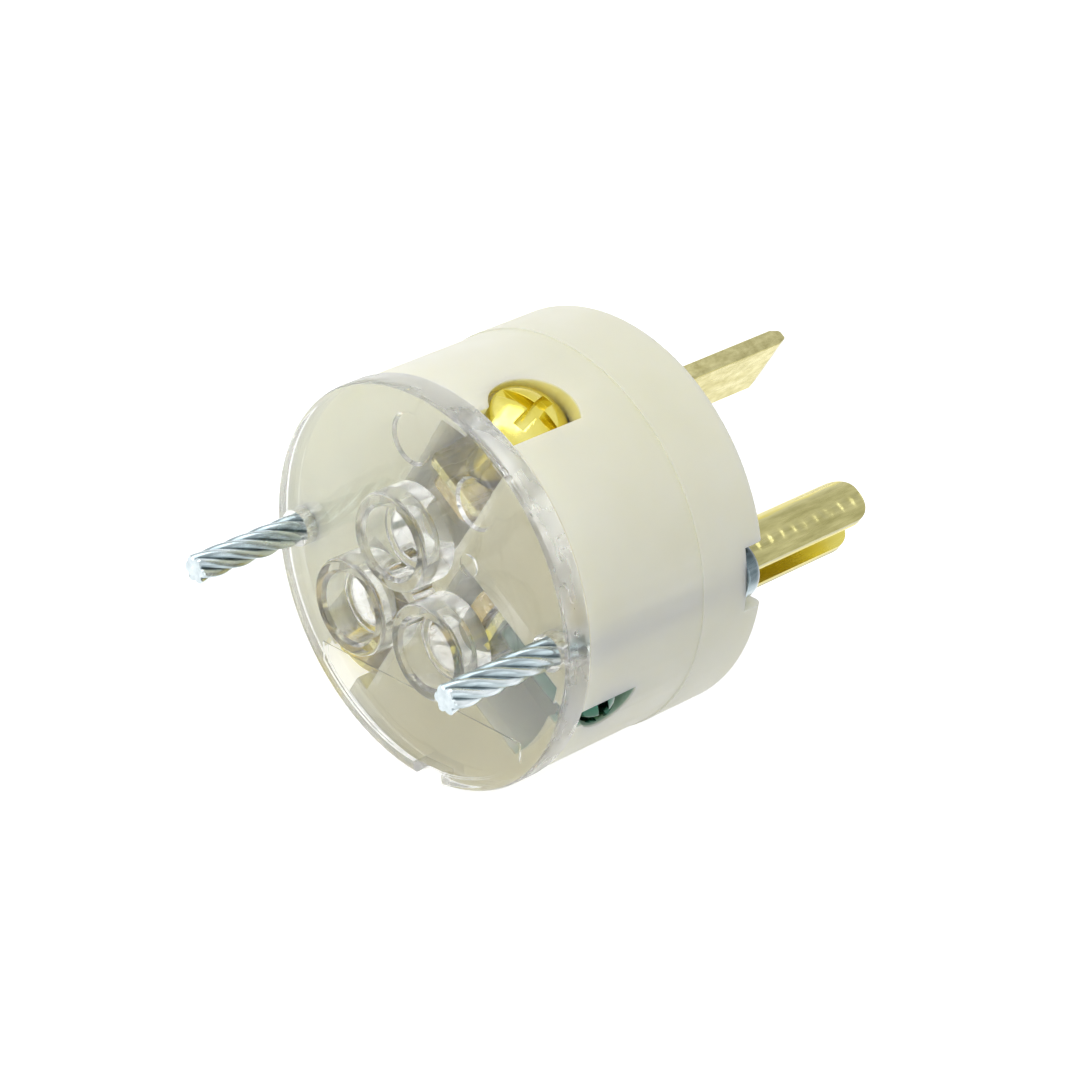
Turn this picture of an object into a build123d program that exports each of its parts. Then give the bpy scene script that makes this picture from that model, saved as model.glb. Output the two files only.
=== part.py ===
"""Insert of a rewireable three-wire plug with two blades in one line and a folded ground pin.

Frame: the origin is the centre of the blade face, +Y points out of that face along the blades,
+Z points to the upper line terminal and +X to the ground pin. Millimetres.
A depth is a distance behind the blade face, so a point at depth d lies at y = -d.
"""
from build123d import *
import os
from math import cos, sin, radians

os.makedirs("parts", exist_ok=True)

# Body: a moulded cup, closed at the blade face
body_radius = 17.5
body_length = 20.0
flange_depth = 7.3
flange_round = 1.0
sleeve_step = 0.15
side_wall = 2.1
line_pocket_inner = 1.9
ground_pocket_inner = 1.6
ground_pocket_low = 4.4
pocket_gap = 0.4

# One tube, one terminal and one pocket for each wire
wire_count = 3

# Clear cover with its wire tubes
cover_thickness = 2.5
cover_round = 0.5
tube_centre_radius = 5.4
tube_outer_radius = 4.25
tube_bore_radius = 3.05
tube_height = 3.2
tube_bore_depth = 2.4
tube_edge_round = 0.3
wire_hole_radius = 2.3
hub_radius = 2.3
hub_height = 2.2
hub_flutes = 12
hub_flute_radius = 0.3
panel_offset = 9.4
panel_half_length = 12.0
panel_rim = 1.1
panel_sink = 0.25
key_angle = -53.6
key_width = 3.4
key_depth = 1.2
gate_pad_radius = 0.95
gate_pad_height = 0.2
gate_pad_distance = 7.8
gate_pad_angle = 69.0

# Blades: two in the plane x = blade_x, one above and one below the axis
blade_x = -3.2
blade_spacing = 18.24
blade_width = 6.35
blade_thickness = 1.52
blade_length = 15.9
blade_bevel = 0.45
blade_bevel_length = 1.3
blade_corner = 0.6
blade_to_ground = 11.89
slot_clearance = 0.1

# Terminal plates of the blades and of the ground pin
plate_thickness = 0.8
plate_width = 6.4
plate_corner = 0.8
plate_end_gap = 0.6
line_plate_height = 8.7
stem_length = 3.2

# Ground pin: sheet folded to a U that opens away from the blades
pin_radius = 2.4
pin_sheet = 0.8
pin_leg = 2.6
pin_length = 20.7
pin_nose_round = 2.2
pin_tail = 1.5
ground_plate_width = 7.3

# Terminal screws and the pressure plates on them
line_screw_from_rear = 4.4
ground_screw_from_rear = 3.2
terminal_shank_radius = 1.75
terminal_head_edge = 0.6
terminal_head_dome = 1.2
line_head_radius = 3.4
ground_head_radius = 2.4
ground_screw_height = 2.3
head_below_wall = 0.3
head_pocket_clearance = 0.15
recess_width = 1.0
recess_depth = 1.1
recess_length = 4.4
recess_turn = 16.0
screw_hole_clearance = 0.25
thread_clearance = 0.05
clamp_thickness = 1.6
clamp_width = 4.8
clamp_length = 6.0
clamp_gap = 0.5
clamp_grooves = 4
clamp_groove_pitch = 1.4
clamp_groove_width = 0.5
clamp_groove_depth = 0.3
screw_end = 0.25

# Windows in the side wall over the terminal screws, with necks that run out at the rear edge
line_window_radius = 3.8
line_window_flat = 2.25
line_window_neck = 4.2
ground_window_radius = 3.0
ground_window_flat = 1.9
ground_window_neck = 1.9

# Assembly screws, one on each side of the axis
assembly_screws = 2
assembly_inset = 2.4
assembly_angle = 33.5
boss_radius = 2.6
shank_radius = 1.1
shank_clearance = 0.35
head_notch_width = 5.8
head_notch_depth = 2.4
head_radius = 2.7
head_height = 1.9
head_round = 1.2
head_recess_length = 3.2
twist_crest_radius = 1.25
twist_root_radius = 1.0
twist_lobes = 6
twist_lead = 14.6
twist_behind_cover = 10.8
twist_inside = 4.0
twist_sections = 19

# Places that follow from the sizes above
cover_depth = body_length + cover_thickness
ground_x = blade_x + blade_to_ground
ground_plate_x = ground_x - pin_radius
blade_inner = (blade_spacing - blade_width) / 2
line_plate_outer = line_plate_height + plate_thickness
plate_length = body_length - plate_end_gap - flange_depth
plate_middle = flange_depth + plate_length / 2
line_screw_depth = body_length - line_screw_from_rear
ground_screw_depth = body_length - ground_screw_from_rear
assembly_radius = body_radius - assembly_inset
chamber_radius = body_radius - side_wall
chamber_depth = body_length - flange_depth
ground_pocket_width = ground_pocket_low + ground_plate_width - pin_radius + pocket_gap
head_drop = head_below_wall + terminal_head_edge + terminal_head_dome
sleeve_radius = body_radius - sleeve_step
line_flat = blade_x + line_window_flat
ground_flat = ground_screw_height + ground_window_flat
line_seat = (sleeve_radius ** 2 - blade_x ** 2) ** 0.5 - head_drop
ground_seat = (sleeve_radius ** 2 - ground_screw_height ** 2) ** 0.5 - head_drop
line_floor = line_seat - head_pocket_clearance
ground_floor = ground_seat - head_pocket_clearance

# Terminals: plane with its origin on the screw axis and its normal out of the window, plate, head seat, head
line_upper = Plane((blade_x, -line_screw_depth, 0), x_dir=(0, 1, 0), z_dir=(0, 0, 1))
line_lower = Plane((blade_x, -line_screw_depth, 0), x_dir=(0, 1, 0), z_dir=(0, 0, -1))
ground_side = Plane((0, -ground_screw_depth, ground_screw_height), x_dir=(0, 1, 0), z_dir=(1, 0, 0))
terminals = (
    ("line", "_upper", line_upper, line_plate_height, line_seat, line_head_radius),
    ("line", "_lower", line_lower, line_plate_height, line_seat, line_head_radius),
    ("ground", "", ground_side, ground_plate_x, ground_seat, ground_head_radius),
)


def behind_face(depth):
    """Plane across the axis at a depth behind the blade face; its x is +X, its y is +Z."""
    return Plane.XZ.offset(depth)


def axis_section(axis_plane):
    """Plane that holds the axis of a screw; its y runs along the axis, outwards."""
    return Plane(axis_plane.origin, x_dir=axis_plane.x_dir, z_dir=-axis_plane.y_dir)


def dome_radius(rim, height):
    """Sphere radius of a dome with a given rim radius and height."""
    return (rim ** 2 + height ** 2) / (2 * height)


def front_edges(part):
    """Edges of a part that lie furthest out along the blades."""
    return part.edges().group_by(Axis.Y)[-1]


# Body
with BuildPart() as body:
    with BuildSketch(behind_face(0)):
        Circle(body_radius)
    extrude(amount=flange_depth)
    fillet(front_edges(body), flange_round)
    with BuildSketch(behind_face(flange_depth)):
        Circle(sleeve_radius)
    extrude(amount=chamber_depth)

    # Terminal pockets, open to the rear, with bosses kept round the assembly screws
    with BuildSketch(behind_face(flange_depth)):
        with Locations((blade_x, line_pocket_inner)):
            Rectangle(plate_width + 2 * pocket_gap, body_radius, align=(Align.CENTER, Align.MIN))
        with Locations((blade_x, -line_pocket_inner)):
            Rectangle(plate_width + 2 * pocket_gap, body_radius, align=(Align.CENTER, Align.MAX))
        with Locations((ground_pocket_inner, -ground_pocket_low)):
            Rectangle(body_radius, ground_pocket_width, align=(Align.MIN, Align.MIN))
        Circle(chamber_radius, mode=Mode.INTERSECT)
        with PolarLocations(assembly_radius, assembly_screws, start_angle=assembly_angle):
            Circle(boss_radius, mode=Mode.SUBTRACT)
    extrude(amount=chamber_depth, mode=Mode.SUBTRACT)

    # Slots for the blades and the ground pin
    with BuildSketch(behind_face(0)):
        with Locations((blade_x, blade_spacing / 2), (blade_x, -blade_spacing / 2)):
            Rectangle(blade_thickness + 2 * slot_clearance, blade_width + 2 * slot_clearance)
        with Locations((ground_x, 0)):
            Circle(pin_radius + slot_clearance)
            Rectangle(pin_leg + slot_clearance, 2 * (pin_radius + slot_clearance),
                      align=(Align.MIN, Align.CENTER))
    extrude(amount=flange_depth, mode=Mode.SUBTRACT)

    # Windows over the line screws, flat on the side of the ground pin
    for side in (1, -1):
        with BuildSketch(Plane.XY.offset(side * line_floor)):
            with Locations((blade_x, -line_screw_depth)):
                Circle(line_window_radius)
            with Locations((line_flat, -line_screw_depth)):
                Rectangle(body_radius, body_radius, align=(Align.MIN, Align.CENTER), mode=Mode.SUBTRACT)
                Rectangle(line_window_neck, body_length, align=(Align.MAX, Align.MAX))
        extrude(amount=side * body_radius, mode=Mode.SUBTRACT)

    # Window over the ground screw, a half disc below its flat
    with BuildSketch(Plane.YZ.offset(ground_floor)):
        with Locations((-ground_screw_depth, ground_flat)):
            Circle(ground_window_radius)
            Rectangle(body_radius, body_radius, align=(Align.CENTER, Align.MIN), mode=Mode.SUBTRACT)
            Rectangle(body_length, ground_window_neck, align=(Align.MAX, Align.MAX))
    extrude(amount=body_radius, mode=Mode.SUBTRACT)

    # Room for each terminal screw: a hole for its shank and a domed pocket for its head under the lip
    for _, _, axis_plane, plate_height, seat, terminal_head_radius in terminals:
        hole_radius = terminal_shank_radius + screw_hole_clearance
        pocket_radius = terminal_head_radius + head_pocket_clearance
        pocket_floor = seat - head_pocket_clearance
        pocket_rim = seat + terminal_head_edge
        pocket_dome = terminal_head_dome + head_pocket_clearance
        with BuildSketch(axis_section(axis_plane)):
            with BuildLine():
                Polyline((0, pocket_rim + pocket_dome), (0, plate_height), (hole_radius, plate_height),
                         (hole_radius, pocket_floor), (pocket_radius, pocket_floor),
                         (pocket_radius, pocket_rim))
                RadiusArc((pocket_radius, pocket_rim), (0, pocket_rim + pocket_dome),
                          -dome_radius(pocket_radius, pocket_dome))
            make_face()
        revolve(axis=Axis(axis_plane.origin, axis_plane.z_dir), mode=Mode.SUBTRACT)

    # Assembly screw holes, with head notches that break through the rim of the flange
    with BuildSketch(behind_face(0)):
        with PolarLocations(assembly_radius, assembly_screws, start_angle=assembly_angle):
            Circle(twist_crest_radius + shank_clearance)
    extrude(amount=body_length, mode=Mode.SUBTRACT)
    with BuildSketch(behind_face(0)):
        with PolarLocations(assembly_radius, assembly_screws, start_angle=assembly_angle):
            Circle(head_notch_width / 2)
            Rectangle(body_radius, head_notch_width, align=(Align.MIN, Align.CENTER))
    extrude(amount=head_notch_depth, mode=Mode.SUBTRACT)

body.part.label = "body"
export_step(body.part, "parts/body.step")

# Clear cover and wire guide
with BuildPart() as cover:
    with BuildSketch(behind_face(body_length)):
        Circle(body_radius)
    extrude(amount=cover_thickness)
    fillet(cover.edges().group_by(Axis.Y)[0], cover_round)

    # Fluted hub between the tubes
    with BuildSketch(behind_face(cover_depth)):
        Circle(hub_radius)
        with PolarLocations(hub_radius, hub_flutes):
            Circle(hub_flute_radius, mode=Mode.SUBTRACT)
    extrude(amount=hub_height)

    # Gate pad of the moulding
    with BuildSketch(behind_face(cover_depth)):
        with PolarLocations(gate_pad_distance, 1, start_angle=gate_pad_angle):
            Circle(gate_pad_radius)
    extrude(amount=gate_pad_height)

    # Wire tubes, stepped down to the wire holes
    with BuildSketch(behind_face(cover_depth)):
        with PolarLocations(tube_centre_radius, wire_count):
            Circle(tube_outer_radius)
    extrude(amount=tube_height)
    fillet(cover.edges().group_by(Axis.Y)[0], tube_edge_round)
    with Locations(behind_face(cover_depth + tube_height)):
        with PolarLocations(tube_centre_radius, wire_count):
            CounterBoreHole(wire_hole_radius, tube_bore_radius, tube_bore_depth)

    # Holes for the assembly screws
    with BuildSketch(behind_face(body_length)):
        with PolarLocations(assembly_radius, assembly_screws, start_angle=assembly_angle):
            Circle(twist_crest_radius + shank_clearance)
    extrude(amount=cover_thickness, mode=Mode.SUBTRACT)

    # Bare sunk panel along one side, in line with the assembly screws
    with BuildSketch(behind_face(cover_depth - panel_sink)):
        Circle(body_radius - panel_rim)
        with Locations(Location((0, 0), assembly_angle)):
            with Locations((0, -panel_offset)):
                Rectangle(2 * panel_half_length, body_radius,
                          align=(Align.CENTER, Align.MAX), mode=Mode.INTERSECT)
    extrude(amount=panel_sink, mode=Mode.SUBTRACT)

    # Key notch in the rim
    with BuildSketch(behind_face(body_length)):
        with PolarLocations(body_radius - key_depth, 1, start_angle=key_angle):
            Rectangle(body_radius, key_width, align=(Align.MIN, Align.CENTER))
    extrude(amount=cover_thickness, mode=Mode.SUBTRACT)

cover.part.label = "wire_guide_cover"
export_step(cover.part, "parts/wire_guide_cover.step")

# Line blades, each one piece with the terminal plate that its two layers spread into
for side, place in ((1, "upper"), (-1, "lower")):
    with BuildPart() as blade:
        with BuildSketch(Plane.YZ.offset(blade_x)):
            with Locations((-flange_depth, side * blade_spacing / 2)):
                Rectangle(flange_depth + blade_length, blade_width, align=(Align.MIN, Align.CENTER))
        extrude(amount=blade_thickness / 2, both=True)
        fillet(front_edges(blade).filter_by(Axis.X), blade_corner)

        # Bevels on both wide faces at the tip
        with BuildSketch(Plane.XY):
            with BuildLine():
                Polyline((blade_x + blade_thickness / 2, blade_length - blade_bevel_length),
                         (blade_x + blade_thickness / 2, blade_length),
                         (blade_x + blade_thickness / 2 - blade_bevel, blade_length), close=True)
            make_face()
            mirror(about=Plane.YZ.offset(blade_x))
        extrude(amount=side * body_radius, mode=Mode.SUBTRACT)

        # Stem from the blade to the middle of the plate
        with BuildSketch(Plane.YZ.offset(blade_x)):
            with Locations((-flange_depth, side * blade_inner)):
                Rectangle(stem_length, line_plate_outer - blade_inner,
                          align=(Align.MAX, Align.MIN if side > 0 else Align.MAX))
        extrude(amount=blade_thickness / 2, both=True)

        # Terminal plate with the hole for its screw
        with BuildSketch(Plane.XY.offset(side * line_plate_height)):
            with Locations((blade_x, -plate_middle)):
                RectangleRounded(plate_width, plate_length, plate_corner)
            with Locations((blade_x, -line_screw_depth)):
                Circle(terminal_shank_radius + screw_hole_clearance, mode=Mode.SUBTRACT)
        extrude(amount=side * plate_thickness)

    blade.part.label = f"line_blade_{place}"
    export_step(blade.part, f"parts/line_blade_{place}.step")

# Ground pin, one piece with its terminal plate
with BuildPart() as ground_pin:
    with BuildSketch(behind_face(flange_depth + pin_tail)):
        with Locations((ground_x, 0)):
            Circle(pin_radius)
            Rectangle(pin_leg, 2 * pin_radius, align=(Align.MIN, Align.CENTER))
            Circle(pin_radius - pin_sheet, mode=Mode.SUBTRACT)
            Rectangle(pin_leg, 2 * (pin_radius - pin_sheet), align=(Align.MIN, Align.CENTER),
                      mode=Mode.SUBTRACT)
    extrude(amount=-(flange_depth + pin_tail + pin_length))

    # Nose of both legs and of the fold, rounded off as seen from the side of a leg
    with BuildSketch(Plane.XY) as nose:
        with Locations((ground_plate_x, pin_length)):
            Rectangle(pin_radius + pin_leg, body_length + pin_length, align=(Align.MIN, Align.MAX))
        fillet(nose.vertices().group_by(Axis.Y)[-1], pin_nose_round)
    extrude(amount=pin_radius, both=True, mode=Mode.INTERSECT)

    # Terminal plate behind the back of the fold, wider on the side of the screw
    with BuildSketch(Plane.YZ.offset(ground_plate_x)):
        with Locations((-plate_middle, -pin_radius)):
            RectangleRounded(plate_length, ground_plate_width, plate_corner,
                             align=(Align.CENTER, Align.MIN))
        with Locations((-ground_screw_depth, ground_screw_height)):
            Circle(terminal_shank_radius + screw_hole_clearance, mode=Mode.SUBTRACT)
    extrude(amount=pin_sheet)

ground_pin.part.label = "ground_pin"
export_step(ground_pin.part, "parts/ground_pin.step")

# Terminal screws and pressure plates
for kind, place, axis_plane, plate_height, seat, terminal_head_radius in terminals:
    clamp_bottom = plate_height - clamp_gap - clamp_thickness
    screw_tip = clamp_bottom - screw_end
    head_rim = seat + terminal_head_edge
    head_top = head_rim + terminal_head_dome

    # Screw with a domed head, a slot and a cross recess
    with BuildPart() as screw:
        with BuildSketch(axis_section(axis_plane)):
            with BuildLine():
                Polyline((0, head_top), (0, screw_tip), (terminal_shank_radius, screw_tip),
                         (terminal_shank_radius, seat), (terminal_head_radius, seat),
                         (terminal_head_radius, head_rim))
                RadiusArc((terminal_head_radius, head_rim), (0, head_top),
                          -dome_radius(terminal_head_radius, terminal_head_dome))
            make_face()
        revolve(axis=Axis(axis_plane.origin, axis_plane.z_dir))
        with BuildSketch(axis_plane.offset(head_top)):
            Rectangle(recess_width, 2 * terminal_head_radius, rotation=recess_turn)
            Rectangle(recess_length, recess_width, rotation=recess_turn)
        extrude(amount=-recess_depth, mode=Mode.SUBTRACT)

    screw.part.label = f"{kind}_screw{place}"
    export_step(screw.part, f"parts/{kind}_screw{place}.step")

    # Pressure plate with grip grooves across the wire
    with BuildPart() as clamp:
        with BuildSketch(axis_plane.offset(clamp_bottom)):
            RectangleRounded(clamp_length, clamp_width, plate_corner)
            Circle(terminal_shank_radius + thread_clearance, mode=Mode.SUBTRACT)
        extrude(amount=clamp_thickness)
        with BuildSketch(axis_plane.offset(clamp_bottom + clamp_thickness)):
            with GridLocations(clamp_groove_pitch, clamp_width, clamp_grooves, 1):
                Rectangle(clamp_groove_width, clamp_width)
        extrude(amount=-clamp_groove_depth, mode=Mode.SUBTRACT)

    clamp.part.label = f"{kind}_clamp{place}"
    export_step(clamp.part, f"parts/{kind}_clamp{place}.step")


def on_ring(radius, angle):
    """Point of a sketch at a radius and an angle in degrees."""
    return (radius * cos(radians(angle)), radius * sin(radians(angle)))


# Assembly screws: pan head in the notch, plain neck, then a coarse many-start twist
twist_start = body_length - twist_inside
twist_length = twist_inside + cover_thickness + twist_behind_cover
lobe_angle = 360 / twist_lobes
for bearing, place in ((assembly_angle, "right"), (assembly_angle + 180, "left")):
    centre_x, centre_z = on_ring(assembly_radius, bearing)
    axis_plane = Plane((centre_x, 0, centre_z), x_dir=(1, 0, 0), z_dir=(0, -1, 0))
    with BuildPart() as assembly_screw:
        with BuildSketch(axis_plane.offset(head_notch_depth)):
            Circle(head_radius)
        extrude(amount=-head_height)
        fillet(front_edges(assembly_screw), head_round)
        with BuildSketch(axis_plane.offset(head_notch_depth - head_height)):
            Rectangle(head_recess_length, recess_width)
            Rectangle(recess_width, head_recess_length)
        extrude(amount=recess_depth, mode=Mode.SUBTRACT)
        with BuildSketch(axis_plane.offset(head_notch_depth)):
            Circle(shank_radius)
        extrude(amount=twist_start - head_notch_depth)

        # Rounded lobes that meet in sharp valleys, turned a little more at each section
        for section in range(twist_sections):
            along = twist_length * section / (twist_sections - 1)
            turn = 360 * along / twist_lead
            with BuildSketch(axis_plane.offset(twist_start + along)):
                with BuildLine():
                    for lobe in range(twist_lobes):
                        valley = turn + lobe * lobe_angle
                        ThreePointArc(on_ring(twist_root_radius, valley),
                                      on_ring(twist_crest_radius, valley + lobe_angle / 2),
                                      on_ring(twist_root_radius, valley + lobe_angle))
                make_face()
        loft()

    assembly_screw.part.label = f"assembly_screw_{place}"
    export_step(assembly_screw.part, f"parts/assembly_screw_{place}.step")
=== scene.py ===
"""Looks of the rewireable plug insert: milky body, clear wire guide cover, brass blades, twisted screws.

Row frame in metres: +Y runs out of the blade face, +Z to the upper line terminal, +X to the ground pin.
Shapes and the edges of colour marks, painted light and painted shade are given in millimetres and go into
meshes and materials in metres.
"""

import bmesh
import bpy
import numpy as np
from mathutils import Matrix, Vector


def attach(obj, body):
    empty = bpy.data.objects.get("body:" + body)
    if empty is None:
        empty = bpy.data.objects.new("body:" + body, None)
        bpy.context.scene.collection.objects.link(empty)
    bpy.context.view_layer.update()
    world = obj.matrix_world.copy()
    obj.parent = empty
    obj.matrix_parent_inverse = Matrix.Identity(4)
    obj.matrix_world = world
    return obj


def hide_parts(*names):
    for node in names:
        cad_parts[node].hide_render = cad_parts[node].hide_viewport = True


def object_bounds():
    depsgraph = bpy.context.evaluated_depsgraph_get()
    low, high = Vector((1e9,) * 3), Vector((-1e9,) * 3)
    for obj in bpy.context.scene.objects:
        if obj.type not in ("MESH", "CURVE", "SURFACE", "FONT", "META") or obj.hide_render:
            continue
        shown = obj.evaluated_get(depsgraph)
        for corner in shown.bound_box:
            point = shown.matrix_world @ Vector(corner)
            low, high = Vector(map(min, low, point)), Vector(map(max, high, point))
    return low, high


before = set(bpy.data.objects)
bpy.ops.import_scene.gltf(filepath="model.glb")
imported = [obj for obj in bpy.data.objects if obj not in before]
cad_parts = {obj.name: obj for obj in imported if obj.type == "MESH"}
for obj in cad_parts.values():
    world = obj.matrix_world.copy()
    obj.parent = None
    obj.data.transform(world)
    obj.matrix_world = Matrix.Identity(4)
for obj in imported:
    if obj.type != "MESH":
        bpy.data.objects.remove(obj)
cad_low, cad_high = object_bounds()
MM = 0.001

# Sizes shared with the solids, in millimetres
BODY_RADIUS = 17.5
COVER_FRONT = -20.0
COVER_REAR = -22.5
COVER_ROUND = 0.5
TUBE_CIRCLE = 5.4
TUBE_ANGLES = (0.0, 120.0, 240.0)
TUBE_OUTER = 4.25
TUBE_BORE = 3.05
TUBE_REAR = -25.7
TUBE_STEP = -23.3
WIRE_HOLE = 2.3
HUB_RADIUS = 2.3
HUB_REAR = -24.7
HUB_FLUTES = 12
PAD_RADIUS = 0.95
PAD_HEIGHT = 0.2
PAD_DISTANCE = 7.8
PAD_ANGLE = 69.0
PANEL_OFFSET = 9.4
PANEL_HALF = 12.0
PANEL_RIM = 1.1
KEY_ANGLE = -53.6
KEY_HALF = 1.7
KEY_DEPTH = 1.2
BLADE_X = -3.2
BLADE_THICKNESS = 1.52
LINE_SEAT = 14.95
GROUND_SEAT = 15.1
ASSEMBLY_RADIUS = 15.1
ASSEMBLY_ANGLE = 33.5
SCREW_HOLE = 1.6
TWIST_LOBES = 6
TWIST_LEAD = 14.6
TWIST_START = -16.0
TWIST_TIP = -33.3
NECK_RADIUS = 1.1
HEAD_RADIUS = 2.7
HEAD_ROUND = 1.2
HEAD_SEAT = -2.4
HEAD_TOP = -0.5
CROSS_HALF = 0.5
CROSS_REACH = 1.6
CROSS_DEPTH = 1.1

# Sizes of the finer forms, which the solids have plainer or not at all, in millimetres
HUB_FLUTE = 0.22
TUBE_LIP = 0.35
BORE_CHAMFER = 0.3
BORE_FILLET = 0.25
STEP_ROUND = 0.2
MARK_CENTRES = ((-7.6, 10.95), (0.3, 12.4))
MARK_RADIUS = 2.3
MARK_DEPTH = 0.25
DISC_FRONT_ROUND = 0.15
PANEL_SINK = 0.4
SHANK_ROOT = 0.93
SHANK_CREST = 1.27
CROSS_SLOPE = 0.12
CROSS_END_SLOPE = 0.15
SHANK_END_RADIUS = 0.86
SHANK_END_BEVEL = 0.16
TWIST_RUN_OUT = 1.2
NECK_TAPER = 0.9
HEAD_EDGE_ROUND = 0.15
DOME_RISE = 0.35

# How far a piece reaches into the one it is joined to, and a cut past the one it goes through.
# The tubes reach deeper than the hub and pad, so that their ends don't lie in one plane.
# A hair keeps two neighbouring rings of a turned shape apart.
ROOTED = 0.6
TUBE_ROOTED = 0.7
PAST = 1.0
HAIR = 0.01


# Mesh helpers

def put_mesh(name, points, faces, shade_angle=35.0):
    """Makes an object in millimetres from points and faces, smooth except where faces meet sharply."""
    mesh = bpy.data.meshes.new(name)
    mesh.from_pydata(np.asarray(points, float).tolist(), [], faces)
    mesh.validate()
    piece = bpy.data.objects.new(name, mesh)
    bpy.context.scene.collection.objects.link(piece)
    face_outwards(piece)
    smooth(piece, shade_angle)
    return piece


def face_outwards(piece):
    """Merges doubles and turns every face outwards."""
    work = bmesh.new()
    work.from_mesh(piece.data)
    bmesh.ops.remove_doubles(work, verts=work.verts, dist=1e-5)
    bmesh.ops.recalc_face_normals(work, faces=work.faces)
    work.to_mesh(piece.data)
    work.free()


def smooth(piece, shade_angle):
    """Smooth shading, with edges sharper than the angle kept hard."""
    piece.data.shade_smooth()
    piece.data.set_sharp_from_angle(angle=np.radians(shade_angle))


def read_points(piece):
    """Array of a mesh's points, one row (x, y, z) each."""
    points = np.empty(len(piece.data.vertices) * 3)
    piece.data.vertices.foreach_get("co", points)
    return points.reshape(-1, 3)


def ring_faces(rows, around):
    """Quads between neighbouring rings of a closed grid, then one cap polygon at each end."""
    ring = np.arange(around)
    following = np.roll(ring, -1)
    start = (np.arange(rows - 1) * around)[:, None]
    above = start + around
    quads = np.stack([start + ring, start + following, above + following, above + ring], -1)
    caps = [ring[::-1].tolist(), (ring + (rows - 1) * around).tolist()]
    return quads.reshape(-1, 4).tolist() + caps


def lathe(name, profile, centre=(0.0, 0.0), around=192):
    """Turned shape: each profile point (radius, y) goes round an axis along Y through centre (x, z)."""
    radius, height = np.asarray(profile, float).T
    turn = np.linspace(0, 2 * np.pi, around, endpoint=False)
    points = np.stack([
        centre[0] + radius[:, None] * np.cos(turn),
        np.broadcast_to(height[:, None], (len(radius), around)),
        centre[1] + radius[:, None] * np.sin(turn)], -1)
    return put_mesh(name, points.reshape(-1, 3), ring_faces(len(radius), around))


def prism(name, outline, low, high):
    """Straight bar: a closed outline of (x, z) points carried along Y from low to high."""
    outline = np.asarray(outline, float)
    ends = [np.insert(outline, 1, level, axis=1) for level in (low, high)]
    return put_mesh(name, np.concatenate(ends), ring_faces(2, len(outline)))


def rounded(corners, radius, steps=7):
    """Profile through corners (radius, y), each inner corner cut by an arc of its radius (0 keeps it)."""
    corners = np.asarray(corners, float)
    line = [corners[0]]
    for before, corner, after, size in zip(corners, corners[1:], corners[2:], radius):
        if size == 0:
            line.append(corner)
            continue
        a = (before - corner) / np.linalg.norm(before - corner)
        b = (after - corner) / np.linalg.norm(after - corner)
        half = np.arccos(np.clip(a @ b, -1, 1)) / 2
        reach = size / np.tan(half)
        middle = corner + (a + b) / np.linalg.norm(a + b) * size / np.sin(half)
        share = np.linspace(0, 1, steps)[:, None]
        arc = (corner + a * reach) * (1 - share) + (corner + b * reach) * share - middle
        line.extend(middle + arc / np.linalg.norm(arc, axis=1)[:, None] * size)
    line.append(corners[-1])
    return np.array(line)


def turned(outline, degrees):
    """Outline of (x, z) points turned about the long axis, from +X towards +Z."""
    turn = np.radians(degrees)
    return outline @ np.array([[np.cos(turn), np.sin(turn)], [-np.sin(turn), np.cos(turn)]])


def on_ring(radius, degrees):
    """Point (x, z) at a radius and an angle from +X towards +Z."""
    return radius * np.cos(np.radians(degrees)), radius * np.sin(np.radians(degrees))


def combine(piece, others, operation):
    """Joins others to the piece, or cuts them out of it, and removes them."""
    for other in others:
        step = piece.modifiers.new("combine", "BOOLEAN")
        step.operation = operation
        step.solver = "EXACT"
        step.object = other
    bpy.context.view_layer.update()
    evaluated = piece.evaluated_get(bpy.context.evaluated_depsgraph_get())
    result = bpy.data.meshes.new_from_object(evaluated)
    piece.modifiers.clear()
    piece.data = result
    for other in others:
        bpy.data.objects.remove(other)


def softened(cad_node, width):
    """Copy of a CAD node with merged corners and a narrow round on each edge, which stands for the node."""
    piece = bpy.data.objects.new(cad_node + "_finished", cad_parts[cad_node].data.copy())
    bpy.context.scene.collection.objects.link(piece)
    work = bmesh.new()
    work.from_mesh(piece.data)
    bmesh.ops.remove_doubles(work, verts=work.verts, dist=2e-6)
    bmesh.ops.dissolve_limit(work, angle_limit=np.radians(0.5), verts=work.verts, edges=work.edges)
    work.to_mesh(piece.data)
    work.free()
    smooth(piece, 30.0)
    lip = piece.modifiers.new("edge round", "BEVEL")
    lip.width = width * MM
    lip.segments = 2
    lip.limit_method = "ANGLE"
    lip.angle_limit = np.radians(40)
    lip.harden_normals = True
    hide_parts(cad_node)
    return piece


def draw_out_dome(piece, axis, seat):
    """Draws a screw's dome out along its axis: the seat stays and the top moves by the dome's rise."""
    points = read_points(piece)
    along = points[:, axis] / MM
    share = np.clip((np.abs(along) - seat) / (np.abs(along).max() - seat), 0, 1)
    points[:, axis] += np.sign(along) * share * DOME_RISE * MM
    piece.data.vertices.foreach_set("co", points.ravel())


def to_metres(piece):
    """Scales a finished mesh from millimetres to metres."""
    piece.data.transform(Matrix.Scale(MM, 4))
    return piece


def place(piece, finish):
    """Gives a piece its material and slot, and lets it ride on the one body."""
    piece.data.materials.clear()
    piece.data.materials.append(finish)
    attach(piece, "root")
    return piece


# Material helpers

def srgb(red, green, blue):
    """Colour written in screen values 0 to 255, as linear light."""
    c = np.array([red, green, blue]) / 255.0
    c = np.where(c <= 0.04045, c / 12.92, ((c + 0.055) / 1.055) ** 2.4)
    return (*c.tolist(), 1.0)


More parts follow.
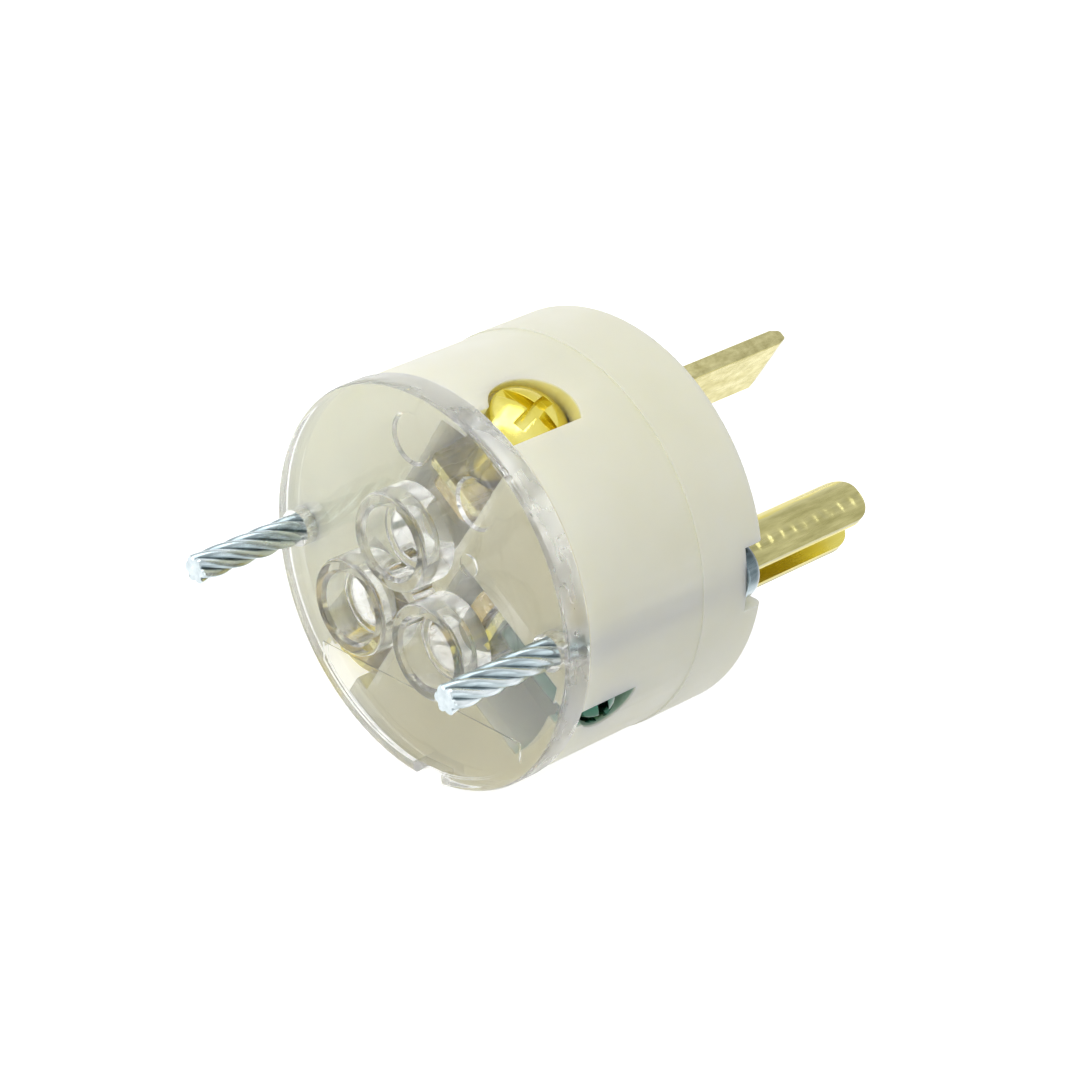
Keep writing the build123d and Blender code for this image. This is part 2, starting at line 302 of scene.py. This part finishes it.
def node_adder(tree):
    """Function that adds a node to a tree, with settings of the node or its sockets and links into it."""
    def node(kind, links=(), **settings):
        made = tree.nodes.new(kind)
        for key, value in settings.items():
            if key in made.inputs:
                made.inputs[key].default_value = value
            else:
                setattr(made, key, value)
        for source, target in links:
            tree.links.new(source, made.inputs[target])
        return made

    return node


def new_finish(name):
    """Empty node material; returns it with its shader and a function that adds a node."""
    finish = bpy.data.materials.new(name)
    finish.use_nodes = True
    return finish, finish.node_tree.nodes["Principled BSDF"], node_adder(finish.node_tree)


def feed(shader, socket, value):
    """Links a value into one of the shader's sockets."""
    shader.id_data.links.new(value, shader.inputs[socket])


def calculate(node, operation, *values):
    """Result of a Math node on one or two values."""
    links = [(value, order) for order, value in enumerate(values)]
    return node("ShaderNodeMath", links, operation=operation).outputs[0]


def object_place(node):
    """Object coordinates of the shaded point."""
    return node("ShaderNodeTexCoord").outputs["Object"]


def place_parts(node):
    """The same coordinates as three values X, Y and Z in metres."""
    return node("ShaderNodeSeparateXYZ", [(object_place(node), "Vector")]).outputs


def axis_distance(node):
    """Distance in metres from the part's long axis."""
    across = node("ShaderNodeVectorMath", [(object_place(node), 0)], operation="MULTIPLY")
    across.inputs[1].default_value = (1, 0, 1)
    return node("ShaderNodeVectorMath", [(across.outputs[0], 0)], operation="LENGTH").outputs["Value"]


def ramp(node, value, start, end, low, high):
    """Straight change from low to high while a value runs from start to end."""
    return node("ShaderNodeMapRange", [(value, "Value")], **{
        "From Min": start, "From Max": end, "To Min": low, "To Max": high}).outputs["Result"]


def spread(node, noise, low, high):
    """Maps the middle of a noise to a range of values."""
    return ramp(node, noise, 0.3, 0.7, low, high)


def edge(node, length, span, low, high):
    """Change from low to high while a length in metres crosses a span given in millimetres."""
    return ramp(node, length, span[0] * MM, span[1] * MM, low, high)


def grain(node, scale, detail=3.0, stretch=(1, 1, 1), roughness=0.5):
    """Noise on Object coordinates, with scale in spots per metre and a stretch along each axis."""
    stretched = node("ShaderNodeMapping", [(object_place(node), "Vector")], Scale=stretch)
    return node("ShaderNodeTexNoise", [(stretched.outputs["Vector"], "Vector")],
                Scale=scale, Detail=detail, Roughness=roughness).outputs["Fac"]


def blend_colours(node, factor, stops):
    """Colour ramp over a factor; each stop is a position and a colour in screen values."""
    blend = node("ShaderNodeValToRGB", [(factor, "Fac")])
    elements = blend.color_ramp.elements
    while len(elements) < len(stops):
        elements.new(0.5)
    for element, (position, colour) in zip(elements, stops):
        element.position = position
        element.color = srgb(*colour)
    return blend.outputs["Color"]


def lay_painted_light(node, colour, share, tint):
    """Lays a tint in screen values over a colour, for painted light and shade; sockets 0, 6 and 7 are the
    share and the two colours.
    """
    mix = node("ShaderNodeMix", [(share, 0), (colour, 6)], data_type="RGBA")
    mix.inputs[7].default_value = srgb(*tint)
    return mix.outputs[2]


def relief(shader, node, height, strength, distance):
    """Bump of a given depth in metres from a height factor."""
    bump = node("ShaderNodeBump", [(height, "Height")], Strength=strength, Distance=distance)
    feed(shader, "Normal", bump.outputs["Normal"])


# Materials

def milky_nylon():
    """Ivory nylon: cloudy tone, painted light in the hollows, a painted brass reflection and painted green
    light from the screws beside them, painted shade browning the rear face over the ground terminal, fine
    moulded grain, light that seeps through the walls."""
    wall_skin = BODY_RADIUS - 0.4, BODY_RADIUS - 0.2
    rear_skin = COVER_FRONT + 0.05, COVER_FRONT + 0.2
    flange_edge = -6.6, -5.6
    brass_side, green_side, green_top = (13.0, 14.5), (13.8, 15.2), (5.0, 5.4)
    rear_shade_side = -13.0, 6.0
    finish, shader, node = new_finish("milky_nylon")
    where = place_parts(node)
    cloud = spread(node, grain(node, 70.0, detail=4.0), 0.0, 0.4)

    # Painted light: the pocket and chamber walls inside the body get lighter tones, as if lit through the
    # milky walls.
    inside_wall = edge(node, axis_distance(node), wall_skin, 0.6, 0.0)
    before_rear = edge(node, where["Y"], rear_skin, 0.0, 1.0)
    behind_flange = edge(node, where["Y"], flange_edge, 1.0, 0.0)
    along = calculate(node, "MULTIPLY", before_rear, behind_flange)
    painted_light_hollow = calculate(node, "MULTIPLY", inside_wall, along)
    plain = blend_colours(node, calculate(node, "ADD", painted_light_hollow, cloud), [
        (0.0, (236, 235, 212)), (0.22, (240, 239, 219)), (0.4, (243, 243, 227)),
        (0.6, (252, 250, 236)), (1.0, (253, 252, 241))])

    height = calculate(node, "ABSOLUTE", where["Z"])
    # Painted reflection: a yellow tint of the brass screws on the hollow walls beside them.
    painted_brass_reflection = calculate(node, "MULTIPLY", painted_light_hollow, edge(node, height, brass_side, 0.0, 1.4))
    # Painted light: a green tint from the ground screw on the hollow walls beside it.
    beside = calculate(node, "MULTIPLY", edge(node, where["X"], green_side, 0.0, 1.4),
                       edge(node, where["Z"], green_top, 1.0, 0.0))
    painted_green_light = calculate(node, "MULTIPLY", painted_light_hollow, beside)
    # Painted shade: the rear face turns browner and darker towards +X, over the ground terminal.
    painted_rear_shade = calculate(node, "MULTIPLY", edge(node, where["Y"], rear_skin, 1.0, 0.0),
                            edge(node, where["X"], rear_shade_side, 0.0, 0.9))
    with_brass_reflection = lay_painted_light(node, plain, painted_brass_reflection, (240, 230, 160))
    with_green_light = lay_painted_light(node, with_brass_reflection, painted_green_light, (150, 186, 168))
    feed(shader, "Base Color", lay_painted_light(node, with_green_light, painted_rear_shade, (206, 198, 160)))

    feed(shader, "Roughness", spread(node, grain(node, 420.0), 0.34, 0.46))
    relief(shader, node, grain(node, 2600.0, detail=4.0), 0.25, 0.00004)
    shader.inputs["Subsurface Weight"].default_value = 1.0
    shader.inputs["Subsurface Radius"].default_value = (1.0, 0.95, 0.8)
    shader.inputs["Subsurface Scale"].default_value = 0.002
    shader.inputs["IOR"].default_value = 1.53
    return finish


def clear_polycarbonate():
    """Water-clear moulding with faint flow ripples and a hazy, uneven rim."""
    rim_skin = BODY_RADIUS - 0.22, BODY_RADIUS - 0.1
    finish, shader, node = new_finish("clear_polycarbonate")
    ripple = grain(node, 260.0, detail=2.0, stretch=(1, 0.4, 1))
    rim = edge(node, axis_distance(node), rim_skin, 0.0, 0.4)
    haze = spread(node, grain(node, 300.0, stretch=(1, 2.0, 1)), 0.4, 1.0)
    fine = spread(node, grain(node, 500.0), 0.0, 0.03)
    feed(shader, "Roughness", calculate(node, "ADD", calculate(node, "MULTIPLY", rim, haze), fine))
    feed(shader, "Base Color", blend_colours(node, ripple, [
        (0.3, (247, 248, 244)), (0.7, (252, 253, 250))]))
    relief(shader, node, ripple, 0.2, 0.0001)
    shader.inputs["Transmission Weight"].default_value = 1.0
    shader.inputs["IOR"].default_value = 1.5
    shader.inputs["Alpha"].default_value = 0.85
    return finish


def worked_metal(name, tones, rough, stretch=(1, 1, 1), coat=0.0):
    """Bare or lacquered metal: three clouded tones, uneven roughness and fine scratches."""
    finish, shader, node = new_finish(name)
    streak = grain(node, 900.0, detail=4.0, stretch=stretch)
    stops = list(zip((0.3, 0.5, 0.7), tones))
    feed(shader, "Base Color", blend_colours(node, grain(node, 240.0, detail=4.0), stops))
    feed(shader, "Roughness", spread(node, streak, *rough))
    relief(shader, node, streak, 0.3, 0.00002)
    shader.inputs["Metallic"].default_value = 1.0
    shader.inputs["Coat Weight"].default_value = coat
    return finish


def twisted_zinc():
    """Zinc: painted shade in the grooves of the twist, a painted highlight on one flank of each lobe,
    finely streaked.
    """
    finish, shader, node = new_finish("zinc")
    streak = grain(node, 1400.0, detail=4.0, stretch=(1, 0.25, 1))
    # Colour follows a stored level of painted light and shade: painted shade in the grooves and on the
    # head's upper side, a painted highlight on one flank of each lobe.
    painted_shading = node("ShaderNodeAttribute", attribute_name="painted_shading").outputs["Fac"]
    shading_and_streaks = calculate(node, "ADD", painted_shading, spread(node, streak, -0.1, 0.1))
    feed(shader, "Base Color", blend_colours(node, shading_and_streaks, [
        (0.0, (24, 32, 38)), (0.3, (100, 115, 121)), (0.6, (172, 186, 191)), (1.0, (228, 236, 239))]))
    feed(shader, "Roughness", spread(node, streak, 0.12, 0.3))
    relief(shader, node, streak, 0.3, 0.00003)
    shader.inputs["Metallic"].default_value = 1.0
    return finish


def sheared_brass():
    """Blades: rolled faces with fine mottling and drawn streaks, darker on the narrow sheared sides."""
    face_skin = BLADE_THICKNESS / 2 - 0.1, BLADE_THICKNESS / 2 - 0.02
    finish, shader, node = new_finish("blade_brass")
    from_middle = node("ShaderNodeMath", [(place_parts(node)["X"], 0)], operation="SUBTRACT")
    from_middle.inputs[1].default_value = BLADE_X * MM
    face = edge(node, calculate(node, "ABSOLUTE", from_middle.outputs[0]), face_skin, 0.0, 0.5)
    mottle = grain(node, 1300.0, detail=5.0, stretch=(1, 0.6, 1), roughness=0.65)
    mottle = spread(node, mottle, 0.0, 0.5)
    feed(shader, "Base Color", blend_colours(node, calculate(node, "ADD", face, mottle), [
        (0.0, (158, 151, 102)), (0.45, (200, 194, 144)), (0.55, (194, 185, 114)), (1.0, (232, 224, 168))]))
    streak = grain(node, 900.0, detail=4.0, stretch=(1, 0.12, 1))
    feed(shader, "Roughness", spread(node, streak, 0.2, 0.36))
    relief(shader, node, mottle, 0.35, 0.00003)
    shader.inputs["Metallic"].default_value = 1.0
    return finish


def folded_brass():
    """Ground pin: darker brass outside, a painted reflection that makes it bright and golden inside the
    fold, and pressed ripples along the bend.
    """
    fold_inside, fold_outside = (1.7, 2.2), (2.1, 2.3)
    ripple_start, ripple_end = (8.7, 9.3), (9.8, 10.4)
    finish, shader, node = new_finish("pin_brass")
    where = place_parts(node)
    height = calculate(node, "ABSOLUTE", where["Z"])
    cloud = grain(node, 1600.0, detail=5.0, stretch=(1, 0.15, 1), roughness=0.65)
    # Painted reflection: the brass inside the fold gets brighter, more golden tones than the same brass
    # outside.
    inside = edge(node, height, fold_inside, 0.6, 0.0)
    tone = calculate(node, "ADD", inside, spread(node, cloud, 0.0, 0.4))
    feed(shader, "Base Color", blend_colours(node, tone, [
        (0.0, (156, 151, 98)), (0.4, (197, 191, 136)), (0.6, (212, 199, 98)), (1.0, (222, 211, 112))]))
    streak = grain(node, 900.0, detail=4.0, stretch=(1, 0.12, 1))
    feed(shader, "Roughness", spread(node, streak, 0.2, 0.38))

    wave = node("ShaderNodeTexWave", [(object_place(node), "Vector")], bands_direction="Y",
                Scale=215.0, Distortion=3.5, Detail=2.0).outputs["Fac"]
    bend = calculate(node, "MULTIPLY", edge(node, where["X"], ripple_start, 0.0, 1.0),
                     edge(node, where["X"], ripple_end, 1.0, 0.0))
    uneven = spread(node, grain(node, 500.0), 0.35, 1.0)
    outside = calculate(node, "MULTIPLY", uneven, edge(node, height, fold_outside, 0.0, 1.0))
    pressed = calculate(node, "MULTIPLY", calculate(node, "MULTIPLY", wave, bend), outside)
    relief(shader, node, pressed, 1.0, 0.00018)
    shader.inputs["Metallic"].default_value = 1.0
    return finish


nylon = milky_nylon()
clear = clear_polycarbonate()
blade_brass = sheared_brass()
pin_brass = folded_brass()
screw_brass = worked_metal("screw_brass", [(212, 196, 78), (224, 210, 100), (238, 228, 132)], (0.1, 0.24))
clamp_brass = worked_metal("clamp_brass", [(172, 152, 96), (186, 166, 108), (198, 180, 122)], (0.22, 0.4),
                           stretch=(1, 0.3, 1))
green_metal = worked_metal("green_metal", [(10, 70, 50), (18, 88, 66), (34, 112, 88)], (0.1, 0.24),
                           coat=1.0)
zinc = twisted_zinc()


# Clear cover

def fluted_hub():
    """Prism whose radius is the hub's less a flute times |cos(half the flutes * angle)| cubed."""
    turn = np.linspace(0, 2 * np.pi, 144, endpoint=False)
    radius = HUB_RADIUS - HUB_FLUTE * np.abs(np.cos(HUB_FLUTES / 2 * turn)) ** 3
    outline = np.stack([radius * np.cos(turn), radius * np.sin(turn)], -1)
    return prism("hub", outline, HUB_REAR, COVER_REAR + ROOTED)


def gate_pad():
    """Low turned pad just proud of the disc."""
    profile = [(PAD_RADIUS, COVER_REAR + ROOTED), (PAD_RADIUS, COVER_REAR - PAD_HEIGHT)]
    return lathe("pad", profile, on_ring(PAD_DISTANCE, PAD_ANGLE), around=64)


def ejector_mark(centre):
    """Shallow turned cut with sides at 45 degrees, as an ejector pin leaves it."""
    above = 0.2
    profile = [(MARK_RADIUS + above, COVER_REAR - above), (MARK_RADIUS, COVER_REAR),
               (MARK_RADIUS - MARK_DEPTH, COVER_REAR + MARK_DEPTH)]
    return lathe("mark", profile, centre, around=96)


def wire_tube(centre):
    """Turned outside of a wire tube, with a round lip."""
    profile = rounded([(TUBE_OUTER, COVER_REAR + TUBE_ROOTED), (TUBE_OUTER, TUBE_REAR), (0, TUBE_REAR)],
                      [TUBE_LIP])
    return lathe("tube", profile[:-1], centre, around=128)


def stepped_bore(centre):
    """Turned cut through a wire tube: chamfered mouth, wide bore, rounded step, wire hole."""
    mouth = TUBE_BORE + BORE_CHAMFER
    profile = rounded([(mouth, TUBE_REAR - PAST), (mouth, TUBE_REAR - HAIR),
                       (TUBE_BORE, TUBE_REAR + BORE_CHAMFER), (TUBE_BORE, TUBE_STEP),
                       (WIRE_HOLE, TUBE_STEP), (WIRE_HOLE, COVER_FRONT + PAST)],
                      [0, 0, BORE_FILLET, STEP_ROUND])
    return lathe("bore", profile, centre, around=128)


def screw_hole(centre):
    """Straight turned cut for an assembly screw."""
    profile = [(SCREW_HOLE, COVER_REAR - PAST), (SCREW_HOLE, COVER_FRONT + PAST)]
    return lathe("screw_hole", profile, centre, around=64)


def sunk_panel():
    """Two prisms, one inside the other and deeper: a chord segment inside the rim, cut square at its ends,
    its far side at -sqrt(radius squared - sideways squared)."""
    sweep = np.linspace(-PANEL_HALF, PANEL_HALF, 60)
    far = -np.sqrt((BODY_RADIUS - PANEL_RIM) ** 2 - sweep ** 2)
    near = [(PANEL_HALF, -PANEL_OFFSET), (-PANEL_HALF, -PANEL_OFFSET)]
    outline = turned(np.concatenate([np.stack([sweep, far], -1), near]), ASSEMBLY_ANGLE)
    middle = outline.mean(axis=0)
    return [prism("panel", middle + (outline - middle) * share, COVER_REAR - PAST, COVER_REAR + sink)
            for share, sink in ((1.0, PANEL_SINK / 2), (0.97, PANEL_SINK))]


def key_notch():
    """Square cut through the rim."""
    inner, outer = BODY_RADIUS - KEY_DEPTH, BODY_RADIUS + 3 * PAST
    outline = np.array([(inner, -KEY_HALF), (outer, -KEY_HALF), (outer, KEY_HALF), (inner, KEY_HALF)])
    return prism("key", turned(outline, KEY_ANGLE), COVER_REAR - PAST, COVER_FRONT + PAST)


def clear_cover():
    """Turned disc with rounded edges; hub, pad and tubes are joined to it, holes and sunk places cut."""
    disc = rounded([(0, COVER_FRONT), (BODY_RADIUS, COVER_FRONT), (BODY_RADIUS, COVER_REAR),
                    (0, COVER_REAR)], [DISC_FRONT_ROUND, COVER_ROUND])
    cover = lathe("clear_cover", disc[1:-1], around=256)
    tubes = [on_ring(TUBE_CIRCLE, angle) for angle in TUBE_ANGLES]
    holes = [on_ring(ASSEMBLY_RADIUS, angle) for angle in (ASSEMBLY_ANGLE, ASSEMBLY_ANGLE + 180)]
    joined = [fluted_hub(), gate_pad()] + [wire_tube(centre) for centre in tubes]
    cut = [ejector_mark(centre) for centre in MARK_CENTRES] + [stepped_bore(centre) for centre in tubes]
    cut += [screw_hole(centre) for centre in holes] + sunk_panel() + [key_notch()]
    combine(cover, joined, "UNION")
    combine(cover, cut, "DIFFERENCE")
    smooth(to_metres(cover), 35.0)
    return cover


# Twisted assembly screws

def twist_phase(turn, y):
    """Half turn per lobe: zero in each of the grooves, which climb round the axis with y."""
    return TWIST_LOBES / 2 * (turn + 2 * np.pi * (y - TWIST_START) / TWIST_LEAD)


def twisted_screw(name, centre):
    """Screw along Y: rings of radius root + (crest - root) * |sin(twist phase)| on the shank, a plain neck,
    a rounded pan head, and a cross sunk into its face."""
    pole, around = 0.02, 144
    end_radius, end_lobes = [pole, 0.5, SHANK_END_RADIUS], [0.0, 0.3, 0.85]
    turn = np.linspace(0, 2 * np.pi, around, endpoint=False)
    shank = np.linspace(TWIST_TIP + SHANK_END_BEVEL, TWIST_START, 260)
    neck = [TWIST_START + NECK_TAPER, HEAD_SEAT - HAIR]
    head = rounded([(NECK_RADIUS, HEAD_SEAT), (HEAD_RADIUS, HEAD_SEAT), (HEAD_RADIUS, HEAD_TOP),
                    (pole, HEAD_TOP)], [HEAD_EDGE_ROUND, HEAD_ROUND], steps=14)[:-1]
    face = np.linspace(head[-1][0], pole, 30)
    radius = np.concatenate([end_radius, np.full(len(shank), SHANK_ROOT), [NECK_RADIUS] * len(neck),
                             head[:, 0], face])
    height = np.concatenate([[TWIST_TIP] * len(end_radius), shank, neck, head[:, 1],
                             np.full(len(face), HEAD_TOP)])
    run_out = np.clip((TWIST_START - shank) / TWIST_RUN_OUT, 0, 1)
    lobes = np.concatenate([end_lobes, run_out, np.zeros(len(neck) + len(head) + len(face))])
    crown = np.abs(np.sin(twist_phase(turn[None, :], height[:, None])))
    ring = radius[:, None] + (SHANK_CREST - SHANK_ROOT) * lobes[:, None] * crown
    x = ring * np.cos(turn)
    z = ring * np.sin(turn)
    arm = np.minimum(np.abs(x), np.abs(z))
    reach = np.maximum(np.abs(x), np.abs(z))
    cross = np.clip((CROSS_HALF - arm) / CROSS_SLOPE, 0, 1)
    cross = cross * np.clip((CROSS_REACH - reach) / CROSS_END_SLOPE, 0, 1)
    on_face = (height == HEAD_TOP)[:, None]
    y = height[:, None] - CROSS_DEPTH * cross * on_face
    points = np.stack([centre[0] + x, y, centre[1] + z], -1)
    screw = put_mesh(name, points.reshape(-1, 3), ring_faces(len(radius), around), 50.0)
    store_painted_shading(screw, centre)
    return to_metres(screw)


def store_painted_shading(screw, centre):
    """Keeps at each point a level of painted light and shade on the plating: painted shade in a groove,
    then a line of levels over the width of the lobe up to a painted highlight on one flank, a fair value on
    the end face, and on the head painted shade that grows with height."""
    x, y, z = read_points(screw).T
    lobe_share = twist_phase(np.arctan2(z - centre[1], x - centre[0]), y) / np.pi % 1
    # Painted shade in the groove and a painted highlight on one flank of each lobe; painted shade on the
    # head's upper side.
    painted_lobe_shading = np.interp(lobe_share, [0, 0.08, 0.25, 0.45, 0.65, 0.82, 0.94, 1],
                          [0.05, 0.4, 0.56, 0.64, 0.92, 1, 0.8, 0.1])
    painted_head_shading = np.clip(0.8 - 0.24 * (z - centre[1]), 0.05, 1)
    painted_shading = np.where(y < TWIST_TIP + 0.1, 0.8, np.where(y < TWIST_START, painted_lobe_shading, painted_head_shading))
    screw.data.attributes.new("painted_shading", "FLOAT", "POINT").data.foreach_set("value", painted_shading)


# Pieces: the body, the cover, the twisted screws, then the brass pieces and the green screw
place(softened("body", 0.12), nylon)

cover = clear_cover()
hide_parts("wire_guide_cover")
place(cover, clear)

for side, angle in (("right", ASSEMBLY_ANGLE), ("left", ASSEMBLY_ANGLE + 180)):
    screw = twisted_screw(f"twisted_screw_{side}", on_ring(ASSEMBLY_RADIUS, angle))
    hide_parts(f"assembly_screw_{side}")
    place(screw, zinc)

for cad_node, slot, finish, width in (
        ("line_blade_upper", "brass_blade", blade_brass, 0.12),
        ("line_blade_lower", "brass_blade", blade_brass, 0.12),
        ("ground_pin", "brass_ground", pin_brass, 0.1),
        ("line_screw_upper", "brass_screw", screw_brass, 0.08),
        ("line_screw_lower", "brass_screw", screw_brass, 0.08),
        ("ground_screw", "green_screw", green_metal, 0.08),
        ("line_clamp_upper", "brass_clamp", clamp_brass, 0.1),
        ("line_clamp_lower", "brass_clamp", clamp_brass, 0.1),
        ("ground_clamp", "brass_clamp", clamp_brass, 0.1)):
    piece = place(softened(cad_node, width), finish)
    if slot == "brass_screw":
        draw_out_dome(piece, 2, LINE_SEAT)
    elif slot == "green_screw":
        draw_out_dome(piece, 0, GROUND_SEAT)


# Floor and world

def seen_directly(node):
    """1 for rays from the camera, a mirror or clear plastic, 0 for rays that only carry light."""
    path = node("ShaderNodeLightPath").outputs
    eye_or_mirror = calculate(node, "MAXIMUM", path["Is Camera Ray"], path["Is Glossy Ray"])
    return calculate(node, "MAXIMUM", eye_or_mirror, path["Is Transmission Ray"])


def pale_floor():
    """Floor that is white to the eye and dimmed only by the part's own shadow."""
    finish, shader, node = new_finish("pale_floor")
    shader.inputs["Base Color"].default_value = (0.82, 0.82, 0.82, 1)
    shader.inputs["Roughness"].default_value = 0.9
    shader.inputs["Specular IOR Level"].default_value = 0.0
    shader.inputs["Emission Color"].default_value = (1, 1, 1, 1)
    glow = node("ShaderNodeMath", [(seen_directly(node), 0)], operation="MULTIPLY")
    glow.inputs[1].default_value = 0.68
    feed(shader, "Emission Strength", glow.outputs[0])
    return finish


FLOOR_HALF = 3.0
floor_level = cad_low[2] - 0.00005
floor_mesh = bpy.data.meshes.new("floor")
floor_mesh.from_pydata([(x * FLOOR_HALF, y * FLOOR_HALF, floor_level)
                        for x, y in ((-1, -1), (1, -1), (1, 1), (-1, 1))], [], [(0, 1, 2, 3)])
floor_mesh.materials.append(pale_floor())
floor = bpy.data.objects.new("floor", floor_mesh)
bpy.context.scene.collection.objects.link(floor)

# World: white to the eye, a plain dimmer light on the part
world = bpy.data.worlds.new("studio")
bpy.context.scene.world = world
world.use_nodes = True
sky = world.node_tree.nodes["Background"]
sky.inputs["Color"].default_value = (1, 1, 1, 1)
sky_node = node_adder(world.node_tree)
feed(sky, "Strength", ramp(sky_node, seen_directly(sky_node), 0.0, 1.0, 0.35, 1.0))


# Lamps and camera

def facing(spot, target, roll=0.0):
    """Matrix of a lamp or camera at a spot that looks at a target, turned about its line of sight by a
    roll in degrees from level."""
    spot, target = np.array(spot), np.array(target)
    back = (spot - target) / np.linalg.norm(spot - target)
    level = np.cross((0, 0, 1), back)
    level = level / np.linalg.norm(level)
    turn = np.radians(roll)
    side = np.cos(turn) * level + np.sin(turn) * np.cross(back, level)
    matrix = np.eye(4)
    matrix[:3] = np.stack([side, np.cross(back, side), back, spot], -1)
    return Matrix(matrix.tolist())


def soft_lamp(name, spot, target, size, power):
    """Square soft lamp at a spot, facing a target, both in metres."""
    data = bpy.data.lights.new(name, "AREA")
    data.size = size
    data.energy = power
    lamp = bpy.data.objects.new(name, data)
    lamp.matrix_world = facing(spot, target)
    bpy.context.scene.collection.objects.link(lamp)


PART_MIDDLE = (0.0, -0.01, 0.0)
soft_lamp("key", (-0.25, -0.1, 0.55), PART_MIDDLE, 0.5, 1.9)
soft_lamp("fill", (0.55, 0.0, 0.25), PART_MIDDLE, 0.5, 0.62)
soft_lamp("near", (-0.06, -0.085, 0.06), (-0.006, -0.02, 0.006), 0.05, 0.018)

# Camera at the photograph's angle, rolled because the photograph shows the part at a slant
CAMERA_SPOT = (0.095995, -0.211905, 0.242504)
CAMERA_TARGET = (0.000338, -0.00908, 0.0)
CAMERA_ROLL = 33.7906
camera_data = bpy.data.cameras.new("camera")
camera_data.lens = 133.333
camera_data.sensor_width = 36.0
camera = bpy.data.objects.new("camera", camera_data)
camera.matrix_world = facing(CAMERA_SPOT, CAMERA_TARGET, CAMERA_ROLL)
bpy.context.scene.collection.objects.link(camera)
bpy.context.scene.camera = camera
bpy.context.scene.view_settings.view_transform = "Standard"
